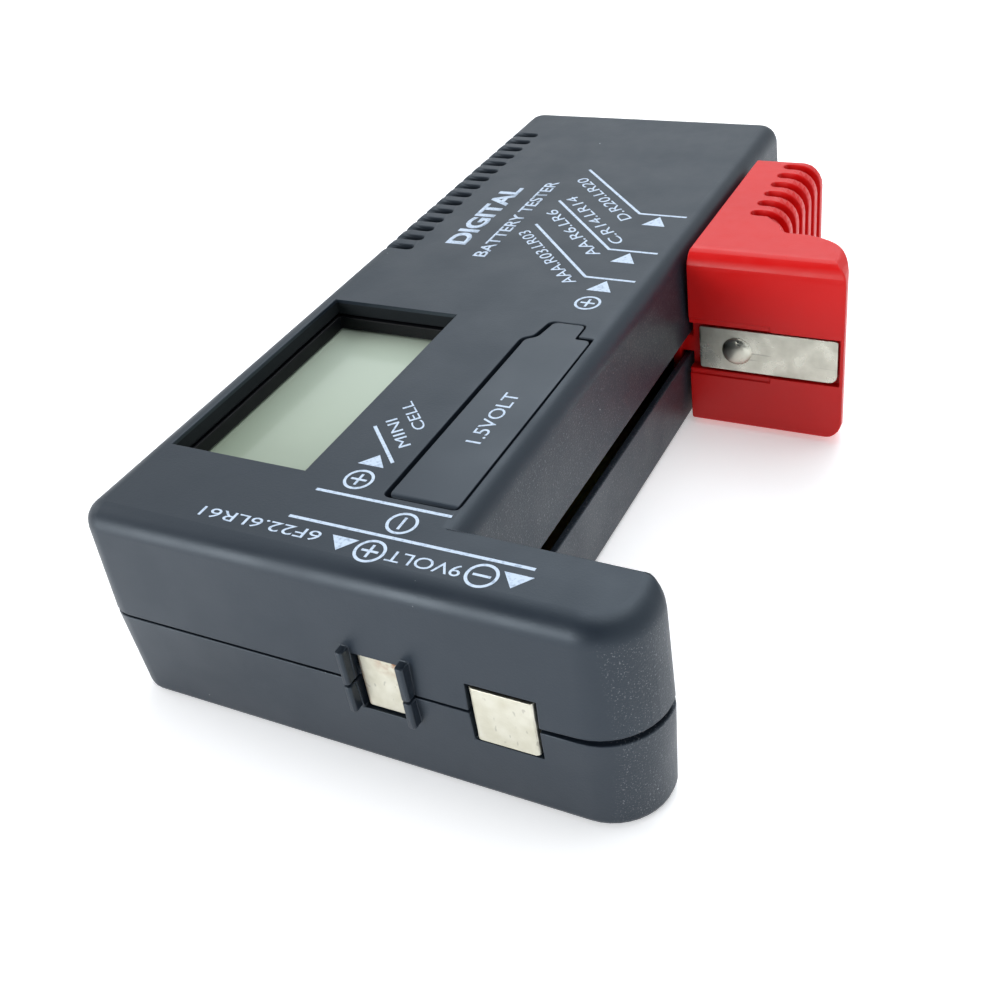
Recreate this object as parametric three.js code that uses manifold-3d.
// Pocket battery tester: a two-part ABS housing with a display, a fixed shelf at the near end,
// and a sliding arm that clamps a cell between its contact strip and the shelf contact.
// Millimetres. +Z is up out of the printed face, +Y runs along the length away from the 9 V
// contacts, +X points towards the open battery bay. The origin is under the middle of the
// housing, on the plane of its back.

import * as THREE from 'three';
import { mergeVertices } from 'three/addons/utils/BufferGeometryUtils.js';
import Module from 'manifold-3d';

const wasm = await Module();
wasm.setup();

// ---------------------------------------------------------------------------------------------
// Driving dimensions
// ---------------------------------------------------------------------------------------------

const height = 23.9; // back to printed face
const left = -29.4; // side with the thumb grooves
const right = 29.4; // outer end of the shelf
const near = -52.5; // face with the 9 V contacts
const far = 53.5;
const bayWall = 10.0; // side of the main block that faces the bay
const shelfInner = -43.6; // face of the shelf that faces the bay

const partingZ = 11.25; // where the two shells meet
const partingGap = 0.3;
const draft = 0.45; // how far each shell leans in from the parting line to its flat face
const shelfDraft = 0.12;
const faceEdgeRadius = 2.2;
const backEdgeRadius = 1.0;
const wall = 1.9;
const tongue = 0.9; // lip of the lower shell that stands inside the upper one
const tongueHeight = 1.1;
const clearance = 0.3; // left between separate pieces

const roof = height - wall; // underside of the printed face
const floorTop = wall; // inside of the back

// Display
const windowLeft = -26.35;
const windowRight = -9.85;
const windowNear = -39.75;
const windowFar = -8.4;
const glassTop = 19.95;
const glassThickness = 1.6;

// Slide slot in the bay wall
const slotBottom = 9.4;
const slotTop = 12.3;
const slotFar = 50.6;
const trackBack = 9.1; // bay wall is thinned to this plane where the carriage runs
const trackBottom = 5.3;
const trackTop = 13.9;
const trackInner = 7.5;

// Sliding arm at rest, one millimetre past the mark for C and AA cells
const armLeft = bayWall + clearance;
const armRight = 29.2;
const armNear = 11.5;
const armFar = 39.6;
const armBottom = 0.6;
const gripRight = 19.1;
const jawBack = 18.85;
const jawCornerRadius = 7.3;
const stripBottom = 8.5;
const stripTop = 14.2;
const stripLeft = 11.6;
const stripRight = 28.5;
const sheet = 0.35; // spring-metal thickness
const neckNear = 13.0;
const neckFar = 37.0;

// Cell compartment under the printed face
const coverLeft = 0.3;
const coverRight = 7.5;
const coverNear = -40.9;
const coverFar = -10.3;
const coverTabLeft = 1.95;
const coverTabRight = 5.65;
const coverTabFar = -7.4;
const coverThickness = 1.1;
const coverHingeY = coverNear + coverThickness / 2; // the cover swings about its rounded near edge
const coverHingeZ = height - coverThickness / 2;
const pocketLeft = 0.7;
const pocketRight = 6.9;
const pocketNear = -39.6;
const pocketFar = -12.0;
const pocketFloor = 10.1;
const cellRadius = 5.8;
const cellThickness = 5.4;
const cellCentres = [-32.6, -19.0]; // along Y
const cellZ = 16.3;

// 9 V contacts in the near face: inner and outer edges along X
const positiveContact = [1.3, 5.7];
const negativeContact = [13.05, 19.3];
const terminalBottom = 7.9;
const terminalTop = 14.3;
const terminalDepth = 3.2; // how far each opening runs in from the near face
const nearRibSpans = [
  [0.15, 0.95],
  [6.4, 7.3],
];
const ribTop = 15.4;
const ribProud = 1.0;

// Circuit board, hung from the printed face
const boardTop = 14.6;
const boardThickness = 1.6;
const boardBottom = boardTop - boardThickness;
const boardLeft = -26.9;
const boardRight = -0.6;
const boardNear = -43.0;
const boardFar = 8.0;

// Rail strip that the arm's wiper runs on
const railTop = 4.6;
const railThickness = 0.4;
const railLeft = 4.9;
const railRight = 7.3;
const railNear = -41.0;
const railFar = 33.0;

const housingScrews = [
  [-24.6, -46.2],
  [21.4, -48.4],
  [-24.4, 47.4],
  [2.4, 47.4],
];
const boardScrews = [
  [-23.6, 3.2],
  [-4.6, 3.2],
];

// ---------------------------------------------------------------------------------------------
// Solids from three.js geometry
// ---------------------------------------------------------------------------------------------

function solidFrom(geometry) {
  geometry.deleteAttribute('normal');
  geometry.deleteAttribute('uv');
  const merged = mergeVertices(geometry, 1e-4);
  const vertProperties = new Float32Array(merged.attributes.position.array);
  const triVerts = new Uint32Array(merged.index.array);
  return new wasm.Manifold(new wasm.Mesh({ numProp: 3, vertProperties, triVerts }));
}

function geometryFrom(solid) {
  const mesh = solid.getMesh();
  const geometry = new THREE.BufferGeometry();
  geometry.setAttribute('position', new THREE.BufferAttribute(new Float32Array(mesh.vertProperties), 3));
  geometry.setIndex(new THREE.BufferAttribute(new Uint32Array(mesh.triVerts), 1));
  return geometry;
}

function join(solids) {
  return solids.reduce((whole, piece) => whole.add(piece));
}

function cut(solid, cutters) {
  return cutters.reduce((rest, cutter) => rest.subtract(cutter), solid);
}

function box(x, y, z) {
  const geometry = new THREE.BoxGeometry(x[1] - x[0], y[1] - y[0], z[1] - z[0]);
  geometry.translate((x[0] + x[1]) / 2, (y[0] + y[1]) / 2, (z[0] + z[1]) / 2);
  return solidFrom(geometry);
}

// A round bar along 'x', 'y' or 'z' between two stations on that axis; centre gives the other two.
function bar(axis, centre, radius, from, to, segments = 16) {
  const geometry = new THREE.CylinderGeometry(radius, radius, to - from, segments);
  const middle = (from + to) / 2;
  if (axis === 'x') {
    geometry.rotateZ(-Math.PI / 2);
    geometry.translate(middle, centre[0], centre[1]);
  } else if (axis === 'y') {
    geometry.translate(centre[0], middle, centre[1]);
  } else {
    geometry.rotateX(Math.PI / 2);
    geometry.translate(centre[0], centre[1], middle);
  }
  return solidFrom(geometry);
}

// Corners are [u, v, radius, steps]. Every corner with a radius becomes an arc of equal steps, so
// outlines made from the same list of corners always have the same number of points.
function roundedOutline(corners, steps = 5) {
  const points = [];
  corners.forEach(([u, v, radius = 0, count = steps], i) => {
    const corner = new THREE.Vector2(u, v);
    const before = corners[(i + corners.length - 1) % corners.length];
    const after = corners[(i + 1) % corners.length];
    if (radius === 0) {
      points.push(corner);
      return;
    }
    const toBefore = new THREE.Vector2(before[0] - u, before[1] - v).normalize();
    const toAfter = new THREE.Vector2(after[0] - u, after[1] - v).normalize();
    const half = Math.acos(THREE.MathUtils.clamp(toBefore.dot(toAfter), -1, 1)) / 2;
    const bisector = toBefore.clone().add(toAfter).normalize();
    const centre = corner.clone().addScaledVector(bisector, radius / Math.sin(half));
    const start = corner.clone().addScaledVector(toBefore, radius / Math.tan(half)).sub(centre);
    const sweep = Math.PI - 2 * half;
    const turn = Math.sign(toBefore.cross(toAfter)) * -1;
    for (let k = 0; k <= count; k += 1) {
      const spoke = start.clone().rotateAround(new THREE.Vector2(), (turn * sweep * k) / count);
      points.push(spoke.add(centre));
    }
  });
  return points;
}

// A prism between two stations on an axis. The outline is given as (x, y) for 'z', (x, z) for 'y'
// and (y, z) for 'x'.
function prism(axis, outline, from, to) {
  const points = axis === 'y' ? outline.map((p) => new THREE.Vector2(p.y, p.x)) : outline;
  const geometry = new THREE.ExtrudeGeometry(new THREE.Shape(points), {
    depth: to - from,
    bevelEnabled: false,
  });
  geometry.translate(0, 0, from);
  if (axis === 'x') {
    geometry.applyMatrix4(new THREE.Matrix4().set(0, 0, 1, 0, 1, 0, 0, 0, 0, 1, 0, 0, 0, 0, 0, 1));
  } else if (axis === 'y') {
    geometry.applyMatrix4(new THREE.Matrix4().set(0, 1, 0, 0, 0, 0, 1, 0, 1, 0, 0, 0, 0, 0, 0, 1));
  }
  return solidFrom(geometry);
}

// A solid through a stack of outlines, each an { z, points } with the same number of points.
function loft(levels) {
  const count = levels[0].points.length;
  const positions = levels.flatMap(({ z, points }) => points.flatMap((p) => [p.x, p.y, z]));
  const index = [];
  for (let level = 0; level + 1 < levels.length; level += 1) {
    for (let i = 0; i < count; i += 1) {
      const a = level * count + i;
      const b = level * count + ((i + 1) % count);
      index.push(a, b, b + count, a, b + count, a + count);
    }
  }
  const top = (levels.length - 1) * count;
  for (const [a, b, c] of THREE.ShapeUtils.triangulateShape(levels[0].points, [])) {
    index.push(a, c, b);
  }
  for (const [a, b, c] of THREE.ShapeUtils.triangulateShape(levels.at(-1).points, [])) {
    index.push(top + a, top + b, top + c);
  }
  const geometry = new THREE.BufferGeometry();
  geometry.setAttribute('position', new THREE.BufferAttribute(new Float32Array(positions), 3));
  geometry.setIndex(index);
  return solidFrom(geometry);
}

// A round piece about an upright axis from a profile of [radius, height] pairs.
function turned(profile, x, y, segments = 16) {
  const geometry = new THREE.LatheGeometry(
    profile.map(([radius, z]) => new THREE.Vector2(radius, z)),
    segments,
  );
  geometry.rotateX(Math.PI / 2);
  geometry.translate(x, y, 0);
  return solidFrom(geometry);
}

// ---------------------------------------------------------------------------------------------
// Housing
// ---------------------------------------------------------------------------------------------

// The L-shaped outline of the housing, drawn in by `inset` on every side but the shelf's bay face,
// which is drawn in by `shelfInset`.
function housingOutline(inset, shelfInset) {
  const soften = (radius) => Math.max(radius - inset, 0.4);
  return roundedOutline([
    [left + inset, near + inset, soften(3.0)],
    [right - inset, near + inset, soften(6.2), 10],
    [right - inset, shelfInner - shelfInset, Math.max(2.4 - inset, 0.4)],
    [bayWall - inset, shelfInner - shelfInset],
    [bayWall - inset, far - inset, soften(3.0)],
    [left + inset, far - inset, soften(3.0)],
  ]);
}

// How far the outside has leaned in at height z, and how far the rounded edge adds to that.
function outsideInset(z, flatZ, radius) {
  const lean = (draft * Math.abs(z - partingZ)) / Math.abs(flatZ - partingZ);
  const intoEdge = Math.max(radius - Math.abs(flatZ - z), 0);
  return lean + radius - Math.sqrt(radius * radius - intoEdge * intoEdge);
}

function housingLevels(heights, flatZ, radius, thickness) {
  return heights.map((z) => {
    const inset = outsideInset(z, flatZ, radius) + thickness;
    const shelfInset = (shelfDraft * Math.abs(z - partingZ)) / Math.abs(flatZ - partingZ) + thickness;
    return { z, points: housingOutline(inset, shelfInset) };
  });
}

function edgeHeights(flatZ, radius, steps) {
  const away = Math.sign(partingZ - flatZ);
  const heights = [];
  for (let k = 0; k <= steps; k += 1) {
    heights.push(flatZ + away * radius * (1 - Math.sin((k / steps) * (Math.PI / 2))));
  }
  return heights;
}

const upperStart = partingZ + partingGap / 2;
const postMeetZ = partingZ + tongueHeight;
const lowerEnd = partingZ - partingGap / 2;

function slotCutter() {
  return box([trackInner, bayWall + 3], [shelfInner + 0.25, slotFar], [slotBottom, slotTop]);
}

function trackCutter() {
  return box([trackInner, trackBack], [shelfInner + 1.0, slotFar + 0.4], [trackBottom, trackTop]);
}

function terminalCutters() {
  return [positiveContact, negativeContact].map(([from, to]) =>
    box(
      [from - clearance, to + clearance],
      [near - 3, near + terminalDepth],
      [terminalBottom - clearance, terminalTop + clearance],
    ));
}

const shelfContactX = [12.4, 26.2];

function shelfContactCutter() {
  return box(
    [shelfContactX[0] - clearance, shelfContactX[1] + clearance],
    [shelfInner - 3.0, shelfInner + 1],
    [stripBottom - clearance, stripTop + clearance],
  );
}

// The shells don't quite close round the outer end of the shelf, so the seam widens there.
function seamWedge() {
  const start = 15.0;
  const opening = 0.5;
  const outline = [
    [start, upperStart - 1],
    [right + 1, upperStart - 1],
    [right + 1, upperStart + opening],
    [start, upperStart],
  ];
  return prism('y', outline.map(([x, z]) => new THREE.Vector2(x, z)), near - 1, shelfInner + 1);
}

// Two guards that stand proud of the near face on either side of the positive contact.
function nearRibs(zFrom, zTo) {
  const edgeRadius = 0.25;
  const root = near + 0.8;
  return nearRibSpans.map(([x0, x1]) => {
    const outline = roundedOutline([
      [x0, root],
      [x0, near - ribProud, edgeRadius],
      [x1, near - ribProud, edgeRadius],
      [x1, root],
    ], 2);
    return prism('z', outline, zFrom, zTo);
  });
}

// Short grooves for the thumb across the left edge of the printed face.
function thumbGrooves() {
  const pitch = 2.653;
  const first = 6.14;
  const halfWidth = 0.7;
  const endX = -23.85;
  const depth = 0.95;
  const sideDepth = 0.85;
  const sideBottom = 14.0;
  const count = 15;
  const cutters = [];
  for (let i = 0; i < count; i += 1) {
    const y = first + i * pitch;
    const span = [y - halfWidth, y + halfWidth];
    cutters.push(box([left - 1, endX - halfWidth], span, [height - depth, height + 1]));
    cutters.push(bar('z', [endX - halfWidth, y], halfWidth, height - depth, height + 1, 12));
    cutters.push(box([left - 1, left + sideDepth], span, [sideBottom, height + 1]));
  }
  return cutters;
}

function coverOutline(grow) {
  const shoulder = coverFar + grow;
  return roundedOutline([
    [coverLeft - grow, coverNear - grow, 0.6],
    [coverRight + grow, coverNear - grow, 0.6],
    [coverRight + grow, shoulder, 0.6],
    [coverTabRight + grow, shoulder, 0.3],
    [coverTabRight + grow, coverTabFar + grow, 0.5],
    [coverTabLeft - grow, coverTabFar + grow, 0.8],
    [coverTabLeft - grow - 0.5, shoulder - 0.5, 1.2],
    [coverLeft - grow, shoulder - 1.2, 1.0],
  ], 4);
}

function screwPost(x, y, radius, from, to) {
  return bar('z', [x, y], radius, from, to, 20);
}

// Hollow of the upper shell: it follows the outside at one wall's distance, then closes in under
// the roof so that the rounded edge keeps its thickness.
function upperHollow() {
  const cove = 0.8;
  const walls = housingLevels([upperStart - 1, roof - cove], height, faceEdgeRadius, wall);
  const underRoof = [[roof - 0.25, 0.3], [roof, 0.6]].map(([z, lean]) => (
    { z, points: housingOutline(wall + draft + lean, wall) }));
  return loft([...walls, ...underRoof]);
}

// Seat of the cell cover, wider on the left, where a finger nail reaches in.
function coverSeat() {
  const fit = 0.18;
  const nailGap = 0.4;
  const seat = prism('z', coverOutline(fit), height - coverThickness - clearance, height + 1);
  const catchHole = box(
    [coverTabRight, coverRight + fit],
    [coverFar - 0.6, coverFar + 0.5],
    [height - 1.6, height + 1],
  );
  return join([seat, seat.translate([-nailGap, 0, 0]), catchHole]);
}

const tailSlotY = [-27.6, -24.4]; // the cell contacts' tails pass through the pocket floor here

function cellPocketWalls() {
  const skin = 0.8;
  const length = [pocketNear - skin, pocketFar + skin];
  return [
    box([pocketLeft - skin, pocketRight + 0.55], length, [pocketFloor - skin, roof + 0.5]),
    box([pocketRight, 8.6], length, [trackTop + clearance, roof + 0.2]),
  ];
}

function cellPocketHollow() {
  const slotWidth = 0.48;
  const depth = [pocketFloor - 2, pocketFloor + 1];
  return [
    box([pocketLeft, pocketRight], [pocketNear, pocketFar], [pocketFloor, height + 1]),
    box([pocketLeft + 0.02, pocketLeft + slotWidth], tailSlotY, depth),
    box([pocketRight - slotWidth, pocketRight - 0.02], tailSlotY, depth),
  ];
}

// Ledges under the roof that hold the ends of the display frame.
function displayRails() {
  const away = 1.4;
  const thickness = 1.0;
  const across = [windowLeft, windowRight + 2.2];
  const hang = [glassTop - 2.2, roof + 0.4];
  return [
    box(across, [windowFar + away, windowFar + away + thickness], hang),
    box(across, [windowNear - away - thickness, windowNear - away], hang),
  ];
}

function upperShell() {
  const heights = [upperStart, ...edgeHeights(height, faceEdgeRadius, 6).reverse()];
  const outside = loft(housingLevels(heights.sort((a, b) => a - b), height, faceEdgeRadius, 0));
  const rebateHeights = [upperStart - 1, upperStart + tongueHeight + clearance];
  const rebate = loft(housingLevels(rebateHeights, height, faceEdgeRadius, wall - tongue - clearance));
  const posts = [
    ...housingScrews.map(([x, y]) => screwPost(x, y, 2.9, postMeetZ + clearance, roof + 0.5)),
    ...boardScrews.map(([x, y]) => screwPost(x, y, 2.6, boardTop + clearance, roof + 0.5)),
  ];
  const skin = join([cut(outside, [upperHollow(), rebate]), ...nearRibs(upperStart, ribTop)]);
  const whole = join([skin, ...posts, ...cellPocketWalls(), ...displayRails()]);
  const housingPilot = 1.4;
  const boardPilot = 1.3;
  return cut(whole, [
    box([windowLeft, windowRight], [windowNear, windowFar], [roof - 0.5, height + 1]),
    coverSeat(),
    ...cellPocketHollow(),
    ...housingScrews.map((spot) => bar('z', spot, housingPilot, partingZ - 1, roof - 1.5, 12)),
    ...boardScrews.map((spot) => bar('z', spot, boardPilot, boardTop, roof - 1.5, 12)),
    ...thumbGrooves(),
    ...terminalCutters(),
    shelfContactCutter(),
    slotCutter(),
    trackCutter(),
    seamWedge(),
  ]);
}

function lowerShell() {
  const heights = [...edgeHeights(0, backEdgeRadius, 3), lowerEnd];
  const outside = loft(housingLevels(heights.sort((a, b) => a - b), 0, backEdgeRadius, 0));
  const inside = loft(housingLevels([floorTop, floorTop + 0.6, partingZ + 4], 0, backEdgeRadius, wall));
  const lipHeights = [lowerEnd - 1.0, lowerEnd + tongueHeight];
  const lip = loft(housingLevels(lipHeights, 0, backEdgeRadius, wall - tongue));
  const posts = housingScrews.map(([x, y]) => screwPost(x, y, 3.2, 0.8, postMeetZ));
  const railLedge = box(
    [railLeft - 0.4, railRight + 0.4],
    [railNear - 0.5, railFar + 0.5],
    [floorTop - 0.4, railTop - railThickness - 0.2],
  );
  const skin = cut(join([outside, lip]), [inside]);
  const whole = join([skin, ...posts, railLedge, ...nearRibs(terminalBottom, lowerEnd)]);
  const headHole = 2.6;
  const shankHole = 1.45;
  return cut(whole, [
    ...housingScrews.map((spot) => bar('z', spot, headHole, -1, 3.4, 20)),
    ...housingScrews.map((spot) => bar('z', spot, shankHole, 2, partingZ + 3, 12)),
    ...terminalCutters(),
    shelfContactCutter(),
    slotCutter(),
    trackCutter(),
  ]);
}

function cellCover() {
  const across = [coverLeft - 1, coverRight + 1];
  const underside = height - coverThickness;
  const roundedNearEdge = join([
    box(across, [coverHingeY, coverTabFar + 1], [height - 2, height + 1]),
    bar('x', [coverHingeY, coverHingeZ], coverThickness / 2, ...across, 24),
  ]);
  const plate = prism('z', coverOutline(0), underside, height).intersect(roundedNearEdge);
  const ribHalf = 0.3;
  const ribs = [2.6, 5.2].map((x) => box(
    [x - ribHalf, x + ribHalf],
    [pocketNear + 1.6, pocketFar - 0.6],
    [underside - 0.35, underside + 0.2],
  ));
  return join([plate, ...ribs]);
}

// ---------------------------------------------------------------------------------------------
// Display and electronics
// ---------------------------------------------------------------------------------------------

const displayLeft = -26.95;
const displayOverlap = 1.1; // how far the frame and the glass reach past the window at each end
const displayRight = windowRight + 1.6;

function displayFrame() {
  const bottom = glassTop + 0.2;
  const top = roof - clearance;
  const lip = 0.25; // the frame's opening is this much smaller than the window on every side
  const outer = prism('y', roundedOutline([
    [displayLeft, bottom],
    [displayRight, bottom],
    [displayRight, top],
    [displayLeft + 0.5, top],
    [displayLeft, top - 1.0],
  ]), windowNear - displayOverlap, windowFar + displayOverlap);
  const opening = box(
    [windowLeft + lip, windowRight - lip],
    [windowNear + lip, windowFar - lip],
    [bottom - 1, top + 1],
  );
  return cut(outer, [opening]);
}

// Two panes with the liquid crystal between them. The upper one leaves a ledge for the connector.
function displayGlass() {
  const bottom = glassTop - glassThickness;
  const middle = glassTop - glassThickness / 2;
  const lower = box(
    [displayLeft, displayRight],
    [windowNear - displayOverlap, windowFar + displayOverlap],
    [bottom, middle],
  );
  const upper = box(
    [displayLeft + 0.1, windowRight + 0.2],
    [windowNear - 1.0, windowFar + 1.0],
    [middle, glassTop],
  );
  return join([lower, upper]);
}

function elastomerStrip() {
  return prism('y', roundedOutline([
    [windowRight + 0.1, boardTop + 0.15, 0.3],
    [windowRight + 1.5, boardTop + 0.15, 0.3],
    [windowRight + 1.5, glassTop - glassThickness - 0.15, 0.3],
    [windowRight + 0.1, glassTop - glassThickness - 0.15, 0.3],
  ], 3), windowNear + 1.5, windowFar - 1.5);
}

const resistorPlaces = [
  [-14.5, -2.5],
  [-14.5, 1.5],
];
const resistorSpan = 10.2;
const capacitorPlace = [-20.0, -36.0];
const capacitorLeadSpan = 2.0;
const trimmerPlace = [-8.0, -30.0];

function boardHoles() {
  const holes = boardScrews.map(([x, y]) => [x, y, 1.4]);
  for (const [x, y] of resistorPlaces) {
    holes.push([x - resistorSpan / 2, y, 0.55], [x + resistorSpan / 2, y, 0.55]);
  }
  const [x, y] = capacitorPlace;
  holes.push([x - capacitorLeadSpan / 2, y, 0.55], [x + capacitorLeadSpan / 2, y, 0.55]);
  return holes;
}

function circuitBoard() {
  const outline = roundedOutline([
    [boardLeft, boardNear, 1.0],
    [boardRight, boardNear, 1.0],
    [boardRight, boardFar, 1.0],
    [boardLeft, boardFar, 1.0],
  ], 2);
  const plate = prism('z', outline, boardBottom, boardTop);
  const notch = bar('z', [boardLeft + 2.3, boardNear - 3.2], 4.4, boardBottom - 1, boardTop + 1, 16);
  const holes = boardHoles().map(([x, y, radius]) =>
    bar('z', [x, y], radius, boardBottom - 1, boardTop + 1, 10));
  return cut(plate, [notch, ...holes]);
}

// Black resin cap over the bare chip, on the underside of the board.
function controllerChip() {
  const capTop = boardBottom - 0.1;
  const sag = 1.5;
  const radius = 4.6;
  const profile = [[0, capTop]];
  for (let k = 0; k < 5; k += 1) {
    const angle = (k / 5) * (Math.PI / 2);
    profile.push([radius * Math.cos(angle), capTop - 0.25 - sag * Math.sin(angle)]);
  }
  profile.push([0, capTop - 0.25 - sag]);
  return turned(profile.reverse(), -17.5, -20.0, 20);
}

// Axial load resistor: one body with its two leads, bent up through the board.
function loadResistor([x, y]) {
  const z = boardBottom - 2.0;
  const leadTop = boardTop + 0.6;
  const body = [
    bar('x', [y, z], 1.15, x - 3.1, x + 3.1, 14),
    bar('x', [y, z], 1.35, x - 3.2, x - 1.9, 14),
    bar('x', [y, z], 1.35, x + 1.9, x + 3.2, 14),
  ];
  const leads = [-1, 1].flatMap((side) => {
    const end = x + (side * resistorSpan) / 2;
    return [
      bar('x', [y, z], 0.25, Math.min(x, end), Math.max(x, end), 8),
      bar('z', [end, y], 0.25, z - 0.25, leadTop, 8),
    ];
  });
  return join([...body, ...leads]);
}

function capacitor() {
  const [x, y] = capacitorPlace;
  const top = boardBottom - 0.4;
  const bottom = top - 7.2;
  const can = turned([
    [0, bottom], [2.2, bottom], [2.5, bottom + 0.3], [2.5, top - 1.3], [2.32, top - 1.05], [2.5, top - 0.8],
    [2.5, top - 0.3], [2.2, top], [0, top],
  ], x, y, 18);
  const leads = [-1, 1].map((side) =>
    bar('z', [x + (side * capacitorLeadSpan) / 2, y], 0.25, top - 0.5, boardTop + 0.6, 8));
  return join([can, ...leads]);
}

function trimmer() {
  const [x, y] = trimmerPlace;
  const top = boardBottom - 0.15;
  const body = prism('z', roundedOutline([
    [x - 3.2, y - 3.2, 0.5],
    [x + 3.2, y - 3.2, 0.5],
    [x + 3.2, y + 3.2, 0.5],
    [x - 3.2, y + 3.2, 0.5],
  ], 2), top - 3.2, top);
  const dial = bar('z', [x, y], 2.2, top - 4.0, top - 3.0, 16);
  const slot = box([x - 1.8, x + 1.8], [y - 0.3, y + 0.3], [top - 5, top - 3.5]);
  return cut(join([body, dial]), [slot]);
}

// ---------------------------------------------------------------------------------------------
// Contacts, cells and wiring
// ---------------------------------------------------------------------------------------------

// A folded plate that fills an opening in the near face, with a leg running back from each side.
function terminalPlate([x0, x1], front, legLength) {
  const back = front + legLength;
  const t = sheet;
  return prism('z', roundedOutline([
    [x0, back],
    [x0, front, 0.45],
    [x1, front, 0.45],
    [x1, back],
    [x1 - t, back],
    [x1 - t, front + t, 0.1],
    [x0 + t, front + t, 0.1],
    [x0 + t, back],
  ], 3), terminalBottom, terminalTop);
}

function shelfContact() {
  const face = shelfInner + 0.05;
  const t = sheet;
  const back = face - 2.6;
  const [x0, x1] = shelfContactX;
  return prism('z', roundedOutline([
    [x0, back],
    [x0, face, 0.45],
    [x1, face, 0.45],
    [x1, back],
    [x1 - t, back],
    [x1 - t, face - t, 0.1],
    [x0 + t, face - t, 0.1],
    [x0 + t, back],
  ], 3), stripBottom, stripTop);
}

function slideRail() {
  return box([railLeft, railRight], [railNear, railFar], [railTop - railThickness, railTop]);
}

function supplyCell(y) {
  const middle = (pocketLeft + pocketRight) / 2;
  const x0 = middle - cellThickness / 2;
  const x1 = middle + cellThickness / 2;
  const can = bar('x', [y, cellZ], cellRadius, x0 + 0.7, x1, 28);
  const cap = bar('x', [y, cellZ], cellRadius - 1.0, x0, x0 + 0.9, 28);
  return join([can, cap]);
}

// Leaf that bridges the same pole of both cells, with a tail down through the pocket floor.
function cellContact(x) {
  const half = 0.1;
  const leaf = prism('x', roundedOutline([
    [cellCentres[0] - 3.6, cellZ - 2.2, 2.0],
    [cellCentres[1] + 3.6, cellZ - 2.2, 2.0],
    [cellCentres[1] + 3.6, cellZ + 2.2, 2.0],
    [cellCentres[0] - 3.6, cellZ + 2.2, 2.0],
  ], 4), x - half, x + half);
  const tail = box([x - half, x + half], [-27.0, -25.0], [pocketFloor - 1.2, cellZ - 2.0]);
  return join([leaf, tail]);
}

// Insulated wire through a few points.
function lead(points, radius = 0.6) {
  const stations = points.map((point) => new THREE.Vector3(...point));
  const curve = new THREE.CatmullRomCurve3(stations, false, 'centripetal');
  const section = new THREE.Shape();
  section.absarc(0, 0, radius, 0, Math.PI * 2);
  const geometry = new THREE.ExtrudeGeometry(section, {
    extrudePath: curve,
    steps: points.length * 4,
    curveSegments: 4,
    bevelEnabled: false,
  });
  return solidFrom(geometry);
}

const leadRoutes = {
  lead_9v_positive: [
    [3.5, -50.9, 11.2], [3.2, -48.6, 9.6], [0.0, -46.5, 8.6], [-5.0, -44.5, 10.5], [-6.5, -41.0, 12.3],
  ],
  lead_9v_negative: [
    [16.2, -51.2, 11.0], [15.0, -49.0, 8.4], [5.0, -48.6, 5.2], [-6.0, -46.0, 8.5], [-9.5, -41.0, 12.3],
  ],
  lead_shelf_contact: [
    [14.4, -44.8, 11.3], [13.2, -46.8, 9.0], [9.0, -46.6, 4.2],
    [0.5, -45.0, 3.0], [-9.5, -44.5, 7.5], [-12.5, -41.0, 12.3],
  ],
  lead_slide_rail: [
    [6.1, -42.2, 4.9], [3.8, -43.2, 5.2], [-1.5, -42.0, 6.6], [-4.0, -39.0, 9.6], [-4.4, -36.5, 12.3],
  ],
  lead_cell_positive: [
    [6.0, -26.0, 8.5], [4.6, -25.6, 8.2], [0.5, -24.0, 7.4], [-3.0, -23.5, 10.0], [-3.6, -23.0, 12.3],
  ],
  lead_cell_negative: [
    [0.9, -26.9, 8.2], [-0.6, -28.0, 7.4], [-2.8, -29.0, 8.6], [-3.8, -29.6, 10.6], [-4.0, -30.0, 12.3],
  ],
};

// ---------------------------------------------------------------------------------------------
// Sliding arm
// ---------------------------------------------------------------------------------------------

const gripEdgeRadius = 3.0;
const jawTopEdgeRadius = 2.2;
const jawOuterEdgeRadius = 2.4;

function gripGrooves() {
  const pitch = 2.83;
  const first = 23.6;
  const halfWidth = 0.75;
  const startX = 14.4 + halfWidth;
  const depth = 0.85;
  const bottom = 3.0;
  const cutters = [];
  for (let i = 0; i < 6; i += 1) {
    const y = first + i * pitch;
    const outer = [
      [startX, height - depth],
      [gripRight - depth, height - depth, gripEdgeRadius - depth],
      [gripRight - depth, bottom],
      [gripRight + 2, bottom],
      [gripRight + 2, height + 2],
      [startX, height + 2],
    ];
    cutters.push(prism('y', roundedOutline(outer, 6), y - halfWidth, y + halfWidth));
    cutters.push(bar('z', [startX, y], halfWidth, height - depth, height + 2, 12));
  }
  return cutters;
}

// Channel that the contact strip's tail follows through the arm into the housing.
const tailY = 15.0;
const tailBottom = 10.0;
const tailTop = 11.7;
const plateFront = armNear + 0.15;

function tailCutters() {
  const c = clearance;
  const z = [tailBottom - c, tailTop + c];
  return [
    box([stripLeft - c, stripLeft + sheet + c], [armNear - 1, tailY + sheet + c], z),
    box([trackInner, stripLeft + sheet + c], [tailY - c, tailY + sheet + c], z),
  ];
}

const rivetPlace = [17.6, 7.4]; // Y and Z of the wiper's rivet
const rivetShankRadius = 0.8;
const carriageNear = 12.4;
const carriageFar = 38.2;
const carriageX = [trackInner + clearance, trackBack - clearance];

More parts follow.
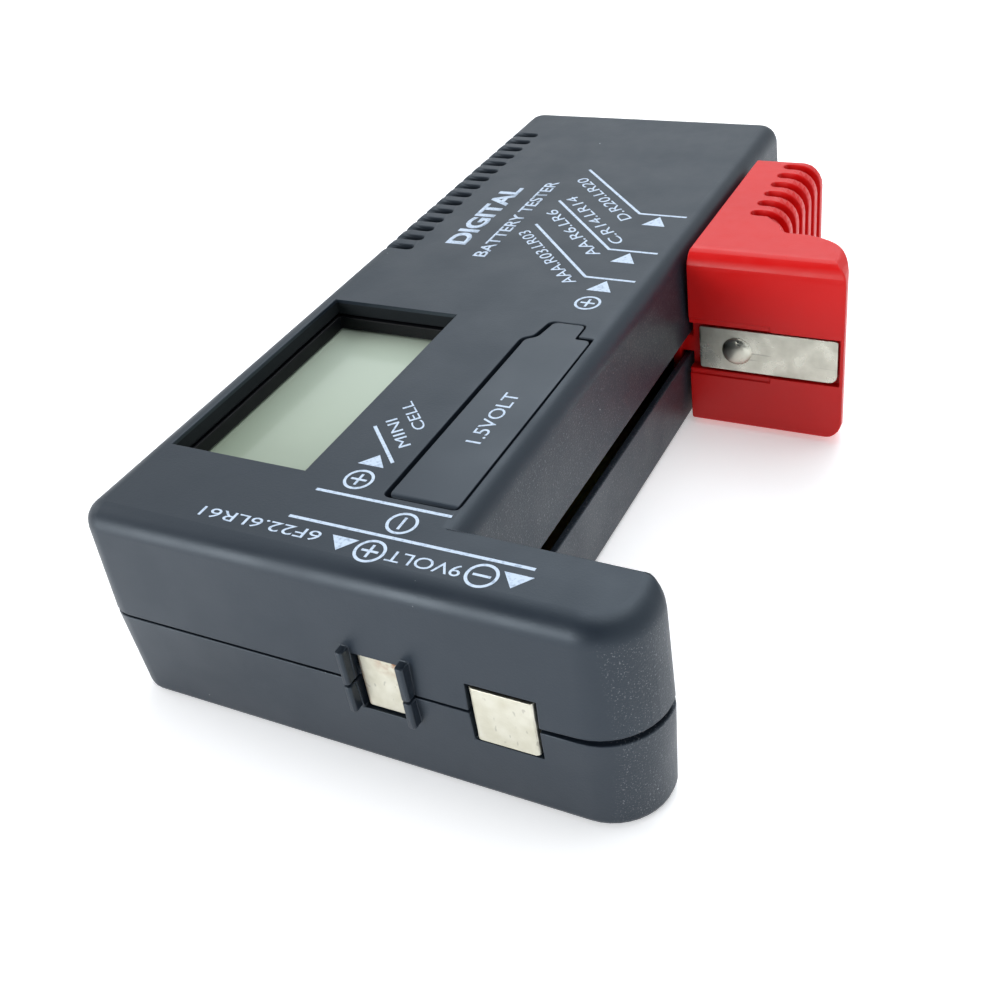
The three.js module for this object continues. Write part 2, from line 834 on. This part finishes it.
function slideArm() {
  const grip = prism('y', roundedOutline([
    [armLeft, armBottom, 0.4],
    [gripRight, armBottom, 1.5],
    [gripRight, height, gripEdgeRadius],
    [armLeft, height, 0.4],
  ], 6), armNear, armFar);
  const fillet = 1.6;
  const jawPlan = prism('z', roundedOutline([
    [armLeft, armNear],
    [armRight, armNear],
    [armRight, jawBack, jawCornerRadius - 0.01, 12],
    [gripRight, jawBack, fillet],
    [gripRight, jawBack + fillet + 0.1],
    [gripRight - gripEdgeRadius, jawBack + fillet + gripEdgeRadius],
    [armLeft, jawBack],
  ], 6), armBottom, height);
  const jawSection = prism('y', roundedOutline([
    [armLeft, armBottom, 0.4],
    [armRight, armBottom, 2.5],
    [armRight, height, jawOuterEdgeRadius],
    [armLeft, height, 0.4],
  ], 6), armNear - 1, armFar);
  const sideSection = prism('x', roundedOutline([
    [armNear, armBottom, 0.5],
    [armFar, armBottom, 0.6],
    [armFar, height, 0.6],
    [armNear, height, jawTopEdgeRadius],
  ], 6), armLeft - 1, armRight + 1);
  const block = join([grip, jawPlan.intersect(jawSection)]).intersect(sideSection);
  const neck = box(
    [carriageX[0] + 0.2, armLeft + 1],
    [neckNear, neckFar],
    [slotBottom + clearance, slotTop - clearance],
  );
  const carriage = prism('x', roundedOutline([
    [carriageNear, 5.6, 0.8],
    [carriageFar, 5.6, 0.8],
    [carriageFar, trackTop - clearance, 0.8],
    [carriageNear, trackTop - clearance, 0.8],
  ], 3), ...carriageX);
  const c = clearance;
  return cut(join([block, neck, carriage]), [
    box([armLeft - 1, 20.4], [armNear - 1, armNear + 0.15], [stripBottom - 1.0, stripTop + 1.0]),
    box([armLeft - 1, stripRight + c], [armNear - 1, armNear + 0.9], [stripBottom - c, stripTop + c]),
    box([armLeft - 1, stripLeft + 0.4], [armNear - 1, neckNear], [stripBottom - c, stripTop + c]),
    ...gripGrooves(),
    ...tailCutters(),
    box([trackInner, 8.45], [14.4, 20.2], [5.2, tailTop + c]),
    bar('x', rivetPlace, rivetShankRadius + c, trackInner - 1, trackBack, 12),
  ]);
}

// Bright strip across the jaw, with a dimple, a tail through the neck and a foot on the carriage.
function armContactStrip() {
  const plate = prism('y', roundedOutline([
    [stripLeft, stripBottom, 0.3],
    [stripRight, stripBottom, 1.0],
    [stripRight, stripTop, 0.3],
    [stripLeft, stripTop, 0.3],
  ], 3), plateFront, plateFront + sheet);
  const footX = 7.85;
  const tail = join([
    box([stripLeft, stripLeft + sheet], [plateFront, tailY + sheet], [tailBottom, tailTop]),
    box([footX, stripLeft + sheet], [tailY, tailY + sheet], [tailBottom, tailTop]),
    box([footX, footX + sheet], [tailY, tailY + sheet + 4.6], [6.2, tailTop]),
  ]);
  const dimpleRadius = 1.85;
  const dimpleHeight = 0.75;
  const profile = [[0, 0], [dimpleRadius, 0]];
  for (let k = 1; k < 5; k += 1) {
    const angle = (k / 5) * (Math.PI / 2);
    profile.push([dimpleRadius * Math.cos(angle), dimpleHeight * Math.sin(angle)]);
  }
  profile.push([0, dimpleHeight]);
  const geometry = new THREE.LatheGeometry(profile.map(([r, h]) => new THREE.Vector2(r, h)), 20);
  geometry.rotateX(Math.PI);
  geometry.translate(16.3, plateFront + 0.05, 11.3);
  const hole = bar('x', rivetPlace, 1.1, footX - 1, footX + 1, 12);
  return cut(join([plate, tail, solidFrom(geometry)]), [hole]);
}

// Springy finger riveted to the foot, which rubs along the rail strip.
function wiperSpring() {
  const x = 7.3;
  const outline = [
    [x, 8.9], [x, 5.9], [x - 0.9, 5.3], [x - 1.7, 4.95], [x - 2.2, 5.3],
    [x - 2.4, 5.15], [x - 1.75, 4.8], [x - 0.75, 5.05], [x + 0.22, 5.75], [x + 0.22, 8.9],
  ].map(([u, v]) => new THREE.Vector2(u, v));
  const finger = prism('y', outline, tailY + 0.4, tailY + 4.4);
  return cut(finger, [bar('x', rivetPlace, 1.1, x - 1, x + 1, 12)]);
}

function wiperRivet() {
  const headRadius = 1.3;
  return join([
    bar('x', rivetPlace, rivetShankRadius, 6.95, 8.7, 12),
    bar('x', rivetPlace, headRadius, 6.5, 7.05, 16),
  ]);
}

// ---------------------------------------------------------------------------------------------
// Fasteners
// ---------------------------------------------------------------------------------------------

const housingScrew = { headBottom: 1.6, headRadius: 2.25, headHeight: 1.5, shankRadius: 1.1, tip: 18.5 };
const boardScrew = {
  headBottom: boardBottom - 1.5,
  headRadius: 1.9,
  headHeight: 1.2,
  shankRadius: 0.95,
  tip: 18.6,
};

// A pan-head screw that points up, with a cross recess in the underside of its head.
function crossScrew([x, y], { headBottom, headRadius, headHeight, shankRadius, tip }) {
  const headTop = headBottom + headHeight;
  const body = turned([
    [0, headBottom], [headRadius * 0.72, headBottom], [headRadius, headBottom + headHeight * 0.45],
    [headRadius, headTop], [shankRadius, headTop], [shankRadius, tip - shankRadius * 1.4], [0, tip],
  ], x, y, 18);
  const reach = headRadius * 0.62;
  const bladeWidth = headRadius * 0.14;
  const depth = headHeight * 0.6;
  return cut(body, [
    box([x - reach, x + reach], [y - bladeWidth, y + bladeWidth], [headBottom - 1, headBottom + depth]),
    box([x - bladeWidth, x + bladeWidth], [y - reach, y + reach], [headBottom - 1, headBottom + depth]),
  ]);
}

// ---------------------------------------------------------------------------------------------
// Materials and assembly
// ---------------------------------------------------------------------------------------------

function material(color, roughness, metalness = 0) {
  return new THREE.MeshStandardMaterial({ color, roughness, metalness });
}

const finish = {
  housing: () => material(0x2b3137, 0.55),
  cover: () => material(0x2f353b, 0.4),
  arm: () => material(0xc0201f, 0.45),
  nickel: () => material(0xc9c6b4, 0.3, 1),
  tin: () => material(0xe6e1cd, 0.4, 1),
  glass: () => material(0xa9b39a, 0.15),
  black: () => material(0x101214, 0.6),
  rubber: () => material(0x7d8288, 0.8),
  board: () => material(0x2f6b3a, 0.5),
  resistor: () => material(0xb99a6a, 0.5),
  blue: () => material(0x2b4a8c, 0.45),
  steel: () => material(0xb4b4ae, 0.35, 1),
  brass: () => material(0xb89a55, 0.35, 1),
  wireRed: () => material(0xb02a22, 0.5),
  wireBlack: () => material(0x17181a, 0.5),
};

const tester = new THREE.Group();
const housing = new THREE.Group();
const slider = new THREE.Group();
const lid = new THREE.Group();
tester.add(housing, slider, lid);

function place(group, name, solid, meshMaterial) {
  const mesh = new THREE.Mesh(geometryFrom(solid), meshMaterial);
  mesh.name = name;
  group.add(mesh);
}

place(housing, 'upper_shell', upperShell(), finish.housing());
place(housing, 'lower_shell', lowerShell(), finish.housing());
place(housing, 'display_frame', displayFrame(), finish.black());
place(housing, 'display_glass', displayGlass(), finish.glass());
place(housing, 'elastomer_connector', elastomerStrip(), finish.rubber());
place(housing, 'circuit_board', circuitBoard(), finish.board());
place(housing, 'controller_chip', controllerChip(), finish.black());
resistorPlaces.forEach((spot, i) =>
  place(housing, `load_resistor_${i + 1}`, loadResistor(spot), finish.resistor()));
place(housing, 'capacitor', capacitor(), finish.blue());
place(housing, 'trimmer', trimmer(), finish.blue());
place(housing, 'contact_9v_positive', terminalPlate(positiveContact, near + 0.45, 2.6), finish.tin());
place(housing, 'contact_9v_negative', terminalPlate(negativeContact, near + 0.05, 3.0), finish.tin());
place(housing, 'shelf_contact', shelfContact(), finish.nickel());
place(housing, 'slide_rail', slideRail(), finish.brass());
cellCentres.forEach((y, i) => place(housing, `supply_cell_${i + 1}`, supplyCell(y), finish.steel()));
place(housing, 'cell_contact_negative', cellContact(pocketLeft + 0.2), finish.nickel());
place(housing, 'cell_contact_positive', cellContact(pocketRight - 0.2), finish.nickel());
for (const [name, route] of Object.entries(leadRoutes)) {
  const isRed = name.includes('positive') || name.includes('rail');
  place(housing, name, lead(route), isRed ? finish.wireRed() : finish.wireBlack());
}
housingScrews.forEach((spot, i) =>
  place(housing, `housing_screw_${i + 1}`, crossScrew(spot, housingScrew), finish.steel()));
boardScrews.forEach((spot, i) =>
  place(housing, `board_screw_${i + 1}`, crossScrew(spot, boardScrew), finish.steel()));

place(slider, 'slide_arm', slideArm(), finish.arm());
place(slider, 'arm_contact_strip', armContactStrip(), finish.nickel());
place(slider, 'wiper_spring', wiperSpring(), finish.brass());
place(slider, 'wiper_rivet', wiperRivet(), finish.brass());

place(lid, 'cell_cover', cellCover(), finish.cover());

export default tester;
